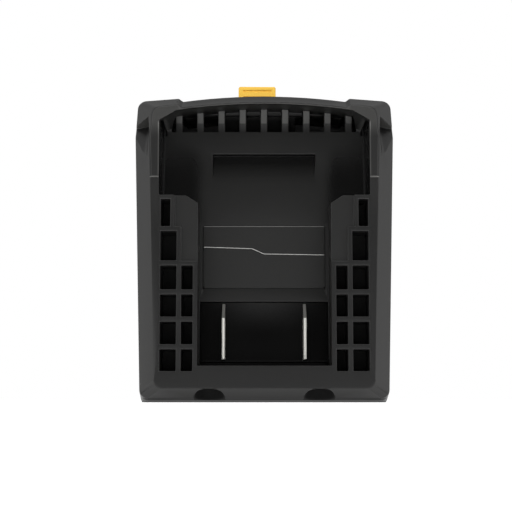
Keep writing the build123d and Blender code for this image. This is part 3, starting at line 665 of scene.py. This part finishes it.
def has_room(edge, radius, chosen):
    """True if nothing in the two faces beside the edge stands in the way of its rounding."""
    for loop in edge.link_loops:
        start, end = loop.vert.co, loop.link_loop_next.vert.co
        inward = loop.face.normal.cross(end - start).normalized() * radius
        spots = [start.lerp(end, part) + inward for part in TRIED_AT]
        for other in loop.face.edges:
            if set(other.verts) & set(edge.verts):
                continue
            need = radius * (ROOM_TO_ROUNDED if other in chosen else ROOM_TO_OTHER)
            head, tail = (vert.co for vert in other.verts)
            for spot in spots:
                near, part = intersect_point_line(spot, head, tail)
                near = head if part < 0 else tail if part > 1 else near
                if (spot - near).length < need:
                    return False
    return True


def round_edges(bm, radius, steps=ROUND_STEPS, region=None):
    """Rounds the sharp edges that have room for it."""
    chosen = sharp_edges(bm, radius, region)
    for _ in range(2):
        chosen = {edge for edge in chosen if has_room(edge, radius, chosen)}
    bmesh.ops.bevel(
        bm, geom=list(chosen), offset=radius, offset_type="OFFSET", segments=steps, profile=0.5,
        affect="EDGES", clamp_overlap=False, loop_slide=True, miter_outer="SHARP",
    )


def rounded_piece(node, name, radius, material, body, soft_regions=()):
    """The CAD node with its edges rounded, as a piece of its own."""
    bm = merged_copy(node)
    for soft_radius, steps, region in soft_regions:
        round_edges(bm, soft_radius, steps, region)
    round_edges(bm, radius)
    mesh = finished_mesh(bm, name, material)
    mesh.shade_smooth()
    mesh.set_sharp_from_angle(angle=SMOOTH)
    piece = put_in_scene(name, mesh)
    weighted = piece.modifiers.new("Even shading", "WEIGHTED_NORMAL")
    weighted.keep_sharp = True
    weighted.weight = NORMAL_WEIGHT
    return declare(piece, body, (node,))


# Operators, one for each piece or group of like pieces

# Edges of the finger scoops, in metres
SCOOP_REGION = ((0.0371, -0.0262, 0.0765), (0.0436, -0.0175, 0.093))
SCOOP_STEPS = 4

# Rougher, as left by the mould, and the ways that faces look
DULL = -0.8
DOWN = (0.0, 0.0, -1.0)
FORWARD = (0.0, -1.0, 0.0)


def shell_zones(case):
    """Where the shells get painted shade and painted highlights, and where they are smoother or rougher."""
    # Strengths of the painted shade in cavities, of the painted shade that goes with the bay's polish, and of
    # the painted highlights
    shade, polish_and_shade, lightened = case.cavity_shade, case.polish_and_shade, case.painted_light_strength
    return (
        # Painted shade on the floor beside the rails, on the bay's side walls behind it and in their corner;
        # the floor and the walls are also smoother, polished by the battery
        Zone((28.5, -7.0, 71.5), (6.5, 1.0, 10.5), (3.0, 0.5, 8.5), polish_and_shade, polish_and_shade),
        Zone((34.0, -17.0, 78.0), (0.2, 9.0, 12.0), (0.1, 1.0, 4.0), polish_and_shade, polish_and_shade),
        Zone((33.9, -7.2, 79.0), (0.4, 0.4, 12.5), (0.15, 0.15, 1.0), shade, DULL),
        # Painted shade, a little rougher, inside the closed case, the vents, the ladder pockets and the base
        # recesses
        Zone((0.0, 2.0, 50.0), (32.0, 6.8, 48.0), (0.3, 0.3, 0.3), shade, DULL),
        Zone((15.8, -3.95, 93.5), (16.2, 2.9, 2.6), (0.1, 0.1, 1.0), shade, DULL),
        Zone((28.1, -19.0, 37.5), (5.7, 4.6, 28.5), (0.3, 0.7, 0.3), shade, DULL),
        Zone((17.6, -19.3, 2.4), (5.0, 3.0, 2.2), (0.1, 0.4, 0.1), shade, DULL),
        Zone((17.6, -21.4, 4.4), (5.0, 5.0, 0.2), (0.1, 0.2, 0.1), shade, DULL, facing=DOWN, spread=0.1),
        # Underside of the front edge, out of the light
        Zone(
            (20.0, -22.0, 0.6), (24.0, 5.5, 0.8), (0.5, 0.5, 0.3), polish_and_shade, DULL,
            facing=(0.0, -0.1, -0.99), spread=0.2
        ),
        # Painted shade in the catch pocket, darkest under its upper edge and a little smoother there, on the
        # floor just below it and on the band over the terminal window
        Zone((0.0, -5.5, 81.25), (17.5, 1.35, 2.25), (0.2, 0.14, 7.2), shade, polish_and_shade / 2),
        Zone((0.0, -5.2, 83.2), (17.5, 1.4, 0.5), (0.2, 0.2, 3.5), shade),
        Zone((0.0, -7.0, 74.5), (17.0, 0.3, 0.3), (0.4, 0.1, 1.2), polish_and_shade / 3),
        Zone((10.7, -7.0, 35.6), (10.9, 0.6, 2.3), (0.3, 0.2, 0.5), polish_and_shade / 3),
        # Finger scoops: painted shade on the leaning floor, a painted highlight on its top wall, and painted
        # shade on the flank round its tip
        Zone(
            (40.0, -22.0, 84.0), (3.5, 5.0, 8.0), (0.3, 1.0, 1.5), polish_and_shade * 0.8,
            facing=(0.0, -0.92, 0.4), spread=0.03
        ),
        Zone(
            (40.0, -22.0, 90.0), (3.5, 5.0, 3.0), (0.3, 1.0, 0.5), -8.0 * lightened,
            facing=(0.0, -0.4, -0.92), spread=0.1
        ),
        Zone((39.5, -24.5, 78.0), (1.2, 2.5, 1.5), (1.2, 1.5, 3.5), polish_and_shade * 0.5),
        # Painted highlights on the bay corners, the slats, the vault and the arch front
        Zone((32.7, -15.0, 92.5), (0.6, 8.0, 2.0), (0.8, 0.5, 0.3), -9.0 * lightened, facing=DOWN, spread=0.3),
        Zone(
            (15.4, -8.0, 96.8), (15.6, 1.1, 2.6), (0.1, 0.1, 0.2), -14.0 * lightened,
            facing=(0.0, -0.93, -0.36), spread=0.02
        ),
        Zone(
            (0.0, -16.0, 97.0), (31.0, 9.0, 3.0), (1.0, 0.5, 0.5), -3.0 * lightened,
            facing=(0.0, -0.16, -0.98), spread=0.05
        ),
        Zone(
            (22.0, -27.0, 96.0), (22.0, 2.0, 8.0), (1.0, 0.8, 3.0), -5.0 * lightened,
            facing=FORWARD, spread=0.1
        ),
        # Painted shade on the front of the base and of the rails, a little darker
        Zone(
            (20.0, -27.0, 31.0), (24.0, 2.0, 31.0), (0.5, 0.8, 8.0), 1.1 * lightened,
            facing=FORWARD, spread=0.05
        ),
        # Painted highlights on the rim's inner edge and step
        Zone((34.2, -27.2, 81.5), (0.2, 0.8, 8.7), (0.15, 0.2, 0.6), -6.0 * lightened),
        Zone((36.0, -26.4, 72.3), (2.6, 0.6, 0.12), (0.2, 0.1, 0.06), -28.0 * lightened),
    )


class ADAPTER_OT_shells(Operator):
    """Round the two case shells and give them their moulded grain"""

    bl_idname = "adapter.shells"
    bl_label = "Case Shells"

    def execute(self, context):
        case = settings("adapter_case")
        material = moulded_plastic(
            "Charcoal shell plastic", case.shell_colour, case.shell_edge_colour, case.shell_roughness,
            case.grain_pitch, case.grain_depth, zones=shell_zones(case)
        )
        scoops = (case.scoop_radius, SCOOP_STEPS, SCOOP_REGION)
        for node, name, soft in (("front_shell", "front_case", (scoops,)), ("rear_shell", "rear_case", ())):
            rounded_piece(node, name, case.edge_radius, material, HOUSING, soft)
        return {"FINISHED"}


class ADAPTER_OT_latch(Operator):
    """Round the release latch and colour it"""

    bl_idname = "adapter.latch"
    bl_label = "Release Latch"

    def execute(self, context):
        latch = settings("adapter_latch")
        case = settings("adapter_case")
        material = moulded_plastic(
            "Yellow latch plastic", latch.tab_colour, latch.tab_edge_colour, latch.tab_roughness,
            case.grain_pitch, case.grain_depth * 0.5, clouding=0.06, wear=0.7, gloss=0.25
        )
        rounded_piece("release_latch", "latch_lever", latch.tab_edge_radius, material, LATCH)
        return {"FINISHED"}


# Rounding of the small mouldings, in metres
BLOCK_EDGE = 0.15 * MM
PLATE_EDGE = 0.1 * MM
HOLDER_EDGE = 0.2 * MM

# Where the terminal block catches light at its top, and the blades' darker lead-in
PALE_BLOCK_TOP = Zone((0.0, -6.4, 33.6), (11.0, 2.0, 1.0), (11.0, 0.5, 10.6), -9.5)
DARK_BLADE_TIP = Zone((13.4, -11.0, 30.3), (1.0, 4.0, 2.8), (0.2, 0.5, 0.3), 0.75)


class ADAPTER_OT_terminals(Operator):
    """Finish the terminal block and its two blades"""

    bl_idname = "adapter.terminals"
    bl_label = "Battery Terminals"

    def execute(self, context):
        terminal = settings("adapter_terminal")
        block = moulded_plastic(
            "Glossy terminal plastic", terminal.block_colour, settings("adapter_case").shell_edge_colour,
            terminal.block_roughness, pitch=0.6 * MM, depth=0.002 * MM, clouding=0.25, wear=0.4,
            gloss=0.1, zones=(PALE_BLOCK_TOP,)
        )
        rounded_piece("terminal_block", "contact_block", BLOCK_EDGE, block, HOUSING)
        metal = plated_metal(
            "Nickel plated blade", terminal.blade_colour, terminal.blade_roughness, stretch=(14.0, 14.0, 0.8),
            zones=(DARK_BLADE_TIP,), metallic=0.5
        )
        for side in ("negative", "positive"):
            node, name = f"blade_{side}", f"battery_blade_{side}"
            rounded_piece(node, name, terminal.blade_edge_radius, metal, HOUSING)
        return {"FINISHED"}


# The stepped divider across the label, as shares of its width and height
DIVIDER_SHARES = ((0.0, 0.655), (0.4, 0.63), (0.5, 0.545), (1.0, 0.53))
# How deep the ink sits in the plate, in metres
INK_SEAT = 0.004 * MM


class ADAPTER_OT_label(Operator):
    """Finish the bare plate in the label's place, print its divider and lay a painted highlight strip along
    its top edge
    """

    bl_idname = "adapter.label"
    bl_label = "Label Plate"

    def execute(self, context):
        label = settings("adapter_label")
        plate = moulded_plastic(
            "Satin label plate", label.plate_colour, edge=(0.06, 0.06, 0.058), roughness=0.42,
            pitch=0.5 * MM, depth=0.003 * MM, clouding=0.1, wear=0.9, wear_width=0.25 * MM
        )
        rounded_piece("label_plate", "bare_label", PLATE_EDGE, plate, HOUSING)
        low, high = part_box("label_plate")
        face = low[1] - label.line_thickness / 2 + INK_SEAT
        left, right = low[0] + label.line_inset, high[0] - label.line_inset
        top = high[2] - label.line_inset
        width, height = right - left, high[2] - low[2]
        divider = [(left + width * across, low[2] + height * up) for across, up in DIVIDER_SHARES]
        rules = rule_tree()
        # The top strip is a painted highlight of the plate's top edge; the divider is print
        for name, tone, path in (
            ("label_border", label.edge_highlight_colour, [(left, top), (right, top)]),
            ("label_divider", label.divider_colour, divider),
        ):
            ink = moulded_plastic(
                f"Ink of {name}", tone, tone, roughness=0.6, pitch=0.2 * MM, depth=0.001 * MM,
                clouding=0.3, wear=0.0
            )
            points = [(x, face, z) for x, z in path]
            edges = [(place, place + 1) for place in range(len(path) - 1)]
            seed = point_mesh(f"{name}_path", points, edges)
            values = {"Width": label.line_width, "Thickness": label.line_thickness, "Material": ink}
            grown_piece(name, seed, rules, values, HOUSING)
        return {"FINISHED"}


class ADAPTER_OT_spring(Operator):
    """Wind the latch spring, which stands on the housing"""

    bl_idname = "adapter.spring"
    bl_label = "Latch Spring"

    def execute(self, context):
        latch = settings("adapter_latch")
        steel = plated_metal("Drawn spring steel", (0.5, 0.5, 0.51), roughness=0.3, stretch=(1.0, 6.0, 1.0))
        low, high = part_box("latch_spring")
        x, z = (low[0] + high[0]) / 2, (low[2] + high[2]) / 2
        values = {
            "Turns": float(latch.spring_turns), "Radius": latch.spring_radius, "Wire": latch.spring_wire,
            "Length": high[1] - low[1] - 2 * latch.spring_wire, "Material": steel,
        }
        seed = point_mesh("spring_foot", [(x, low[1] + latch.spring_wire, z)])
        coil = grown_piece("wound_spring", seed, coil_tree(), values, None, ("latch_spring",))
        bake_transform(coil)
        dress("latch_pivot_pin", steel)
        return {"FINISHED"}


class ADAPTER_OT_screws(Operator):
    """Round the heads of the four shell screws, each turned by chance, and finish the small ones"""

    bl_idname = "adapter.screws"
    bl_label = "Screws"

    def execute(self, context):
        screws = settings("adapter_screw")
        zinc = plated_metal(
            "Dark zinc screw", screws.screw_colour, roughness=0.35, stretch=(3.0, 3.0, 3.0), contrast=0.4
        )
        for node in ("board_screws", "block_screws", "carrier_screws"):
            dress(node, zinc)
        low, high = (Vector(corner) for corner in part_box("shell_screws"))
        reach = Vector((screws.head_radius, 0.0, screws.head_radius))
        first, last = low + reach, high - reach
        bm = merged_copy("shell_screws")
        others = [vert for vert in bm.verts if vert.co.x > 0 or vert.co.z > (first.z + last.z) / 2]
        bmesh.ops.delete(bm, geom=others, context="VERTS")
        bmesh.ops.translate(bm, verts=bm.verts, vec=(-first.x, 0.0, -first.z))
        round_edges(bm, screws.head_edge)
        pattern = put_in_scene("screw_pattern", finished_mesh(bm, "screw_pattern", zinc))
        places = [(x, 0.0, z) for x in (first.x, last.x) for z in (first.z, last.z)]
        seed = point_mesh("screw_places", places)
        values = {"Pattern": pattern, "Material": zinc}
        grown_piece("case_screws", seed, repeat_tree(), values, HOUSING, ("shell_screws",))
        bpy.data.objects.remove(pattern)
        return {"FINISHED"}


class ADAPTER_OT_electronics(Operator):
    """Finish the converter inside the case, its leads and the contacts for the tool"""

    bl_idname = "adapter.electronics"
    bl_label = "Converter And Contacts"

    def execute(self, context):
        parts = settings("adapter_electronics")
        terminal = settings("adapter_terminal")
        dress("circuit_board", board_material(parts.mask_colour, parts.trace_colour))
        ferrite = moulded_plastic(
            "Pressed ferrite", parts.ferrite_colour, edge=(0.12, 0.12, 0.12), roughness=0.6,
            pitch=0.35 * MM, depth=0.02 * MM, clouding=0.4
        )
        dress("power_choke", ferrite)
        epoxy = moulded_plastic(
            "Moulded epoxy", parts.epoxy_colour, edge=(0.05, 0.05, 0.05), roughness=0.5,
            pitch=0.2 * MM, depth=0.006 * MM
        )
        for node in ("power_transistors", "control_chips"):
            dress(node, epoxy)
        dress("heat_sink", plated_metal("Extruded aluminium", parts.aluminium_colour, 0.38, (8.0, 8.0, 0.5)))
        dress("capacitors", can_material(parts.sleeve_colour, parts.aluminium_colour))
        for node, name, tone in (
            ("lead_positive", "Red lead insulation", parts.red_colour),
            ("lead_negative", "Black lead insulation", parts.black_colour),
        ):
            insulation = moulded_plastic(
                name, tone, tone, roughness=0.45, pitch=0.5 * MM, depth=0.01 * MM, clouding=0.2, wear=0.0
            )
            dress(node, insulation)
        carrier = moulded_plastic(
            "Satin carrier plastic", terminal.block_colour, edge=(0.04, 0.04, 0.04), roughness=0.35,
            pitch=0.4 * MM, depth=0.006 * MM
        )
        rounded_piece(
            "contact_carrier", "tool_contact_holder", HOLDER_EDGE, carrier, HOUSING
        )
        metal = plated_metal("Nickel plated contact", terminal.blade_colour, 0.35, (10.0, 10.0, 1.0))
        for node in ("tool_contact_positive", "tool_contact_negative"):
            dress(node, metal)
        return {"FINISHED"}


# Net of traces on the board, its second tone, and the depth in millimetres of a can's bare end
TRACE_NET = (("Scale", 0.28), ("Mortar Size", 0.05), ("Mortar Smooth", 0.2))
SECOND_TONE = 0.8
BARE_END = 0.05


def board_material(mask, trace):
    """Solder mask over a faint net of copper traces."""
    material, tree, shader = new_material("Green circuit board")
    spot = millimetre_coordinates(tree)
    bricks = tree.nodes.new("ShaderNodeTexBrick")
    turned = tree.nodes.new("ShaderNodeVectorRotate")
    turned.rotation_type = "X_AXIS"
    turned.inputs["Angle"].default_value = math.pi / 2
    tree.links.new(spot, turned.inputs["Vector"])
    tree.links.new(turned.outputs[0], bricks.inputs["Vector"])
    for name, value in TRACE_NET:
        bricks.inputs[name].default_value = value
    bricks.inputs["Color1"].default_value = (*mask, 1.0)
    bricks.inputs["Color2"].default_value = (*(tone * SECOND_TONE for tone in mask), 1.0)
    bricks.inputs["Mortar"].default_value = (*trace, 1.0)
    cloud = place_group(tree, "Moulded Grain", pitch=0.8, clouding=0.3)
    tint = mix_colour(tree, 1.0, bricks.outputs["Color"], cloud.outputs["Tint"], "MULTIPLY")
    rough = math_node(tree, "MULTIPLY", cloud.outputs["Gloss"], 0.3)
    feed(tree, shader, tint, rough, bricks.outputs["Fac"], 0.01 * MM)
    return material


def can_material(sleeve, metal):
    """Capacitor can: a plastic sleeve with a bare metal end."""
    material, tree, shader = new_material("Sleeved capacitor can")
    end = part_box("capacitors")[1][1] / MM - BARE_END
    bare = math_node(tree, "GREATER_THAN", split_axes(tree, millimetre_coordinates(tree))["Y"], end)
    streaks = place_group(tree, "Drawn Streaks", stretch=(6.0, 1.0, 6.0), contrast=0.3)
    tone_worked_in = mix_colour(tree, 1.0, tuple(sleeve), streaks.outputs["Tint"], "MULTIPLY")
    tint = mix_colour(tree, bare, tone_worked_in, tuple(metal))
    rough = math_node(tree, "MULTIPLY", streaks.outputs["Tint"], 0.35)
    tree.links.new(bare, shader.inputs["Metallic"])
    feed(tree, shader, tint, rough, streaks.outputs["Height"], 0.004 * MM)
    return material


# Each soft light's name, place, size, level setting and whether it shows in gloss
SOFT_LIGHTS = (
    ("left_box", (-0.8, -0.25, 0.35), 0.8, "side_level", True),
    ("right_box", (0.8, -0.25, 0.35), 0.8, "side_level", True),
    ("top_box", (0.0, -0.15, 1.0), 0.9, "top_level", True),
    ("front_box", (0.0, -1.2, 0.9), 1.0, "front_level", False),
)
LIT_POINT = Vector((0.0, 0.0, 0.05))
FLOOR_CORNERS = ((-3.0, -3.0), (3.0, -3.0), (3.0, 3.0), (-3.0, 3.0))
SENSOR_WIDTH = 36.0
NEAR_CLIP = 0.001


class ADAPTER_OT_stage(Operator):
    """Set up the floor, the backdrop, the soft lights and the camera"""

    bl_idname = "adapter.stage"
    bl_label = "Stage"

    def execute(self, context):
        stage = settings("adapter_stage")
        paper = paper_material(stage.floor_colour)
        bm = bmesh.new()
        bm.faces.new([bm.verts.new((x, y, 0.0)) for x, y in FLOOR_CORNERS])
        floor = put_in_scene("studio_floor", finished_mesh(bm, "studio_floor", paper))
        light_room(stage.world_level)
        context.scene.view_settings.view_transform = "Standard"
        for name, place, size, setting, in_gloss in SOFT_LIGHTS:
            lamp = bpy.data.lights.new(name, "AREA")
            lamp.shape = "SQUARE"
            lamp.size = size
            lamp.energy = getattr(stage, setting) * math.pi * size**2
            holder = put_in_scene(name, lamp)
            holder.location = place
            holder.visible_glossy = in_gloss
            holder.rotation_euler = (LIT_POINT - Vector(place)).to_track_quat("-Z", "Y").to_euler()
        eye = bpy.data.cameras.new("photo_camera")
        eye.lens = stage.focal_length
        eye.sensor_width = SENSOR_WIDTH
        eye.clip_start = NEAR_CLIP
        camera = put_in_scene("photo_camera", eye)
        camera.location = stage.camera_place
        camera.rotation_euler = (math.pi / 2 + stage.camera_pitch, 0.0, 0.0)
        context.scene.camera = camera
        return {"FINISHED"}


PAPER_ROUGHNESS = 0.9
PAPER_GLOW = 0.6
PAPER_GLOW_MIRRORED = 0.4
# How the room dims in gloss from its sides to its front and back
ROOM_FADE = (("From Min", 0.3), ("From Max", 0.9), ("To Min", 0.75), ("To Max", 0.1))


def mirror_rays(tree):
    """The light path's sockets, and a mask that is 1 for rays from gloss or clear parts."""
    path = tree.nodes.new("ShaderNodeLightPath").outputs
    return path, math_node(tree, "MAXIMUM", path["Is Glossy Ray"], path["Is Transmission Ray"])


def paper_material(tone):
    """Pale paper that the camera sees as white, and that keeps the object's shadow."""
    material, tree, shader = new_material("Studio paper")
    shader.inputs["Base Color"].default_value = (*tone, 1.0)
    shader.inputs["Roughness"].default_value = PAPER_ROUGHNESS
    shader.inputs["Emission Color"].default_value = (1.0, 1.0, 1.0, 1.0)
    path, mirrored = mirror_rays(tree)
    seen = math_node(tree, "MULTIPLY", path["Is Camera Ray"], PAPER_GLOW)
    glow = math_node(tree, "MAXIMUM", seen, math_node(tree, "MULTIPLY", mirrored, PAPER_GLOW_MIRRORED))
    tree.links.new(glow, shader.inputs["Emission Strength"])
    return material


def light_room(level):
    """A white room to the camera, dimmer in front of and behind the object for its gloss."""
    world = bpy.data.worlds.new("studio_room")
    bpy.context.scene.world = world
    world.use_nodes = True
    tree = world.node_tree
    back = tree.nodes["Background"]
    back.inputs["Color"].default_value = (1.0, 1.0, 1.0, 1.0)
    way = tree.nodes.new("ShaderNodeTexCoord")
    depth = math_node(tree, "ABSOLUTE", split_axes(tree, way.outputs["Generated"])["Y"])
    fade = tree.nodes.new("ShaderNodeMapRange")
    fade.interpolation_type = "SMOOTHSTEP"
    for name, value in ROOM_FADE:
        fade.inputs[name].default_value = value
    tree.links.new(depth, fade.inputs["Value"])
    path, mirrored = mirror_rays(tree)
    shine = math_node(tree, "MULTIPLY", mirrored, fade.outputs["Result"])
    room = math_node(tree, "MULTIPLY", math_node(tree, "SUBTRACT", 1.0, mirrored), level)
    lit = math_node(tree, "MAXIMUM", math_node(tree, "ADD", shine, room), path["Is Camera Ray"])
    tree.links.new(lit, back.inputs["Strength"])


class ADAPTER_PT_panel(Panel):
    """Lists the adapter's operators and their settings"""

    bl_idname = "ADAPTER_PT_panel"
    bl_label = "Battery Adapter"
    bl_space_type = "VIEW_3D"
    bl_region_type = "UI"
    bl_category = "Adapter"

    def draw(self, context):
        for group, kinds in SETTING_GROUPS.items():
            box = self.layout.box()
            for name in kinds.__annotations__:
                box.prop(getattr(context.scene, group), name)
        for step in STEPS:
            self.layout.operator(step.bl_idname)


STEPS = (
    ADAPTER_OT_stage,
    ADAPTER_OT_shells,
    ADAPTER_OT_latch,
    ADAPTER_OT_terminals,
    ADAPTER_OT_label,
    ADAPTER_OT_spring,
    ADAPTER_OT_screws,
    ADAPTER_OT_electronics,
)
CLASSES = (*SETTING_GROUPS.values(), *STEPS, ADAPTER_PT_panel)


def register():
    """Registers the classes and hangs their settings on the scene."""
    for kind in CLASSES:
        bpy.utils.register_class(kind)
    for name, kind in SETTING_GROUPS.items():
        setattr(bpy.types.Scene, name, PointerProperty(type=kind))


def unregister():
    """Takes back what register did."""
    for name in SETTING_GROUPS:
        delattr(bpy.types.Scene, name)
    for kind in reversed(CLASSES):
        bpy.utils.unregister_class(kind)


def main():
    """Registers the classes and builds every piece in turn."""
    register()
    for step in STEPS:
        group, name = step.bl_idname.split(".")
        getattr(getattr(bpy.ops, group), name)()


if __name__ == "__main__":
    main()
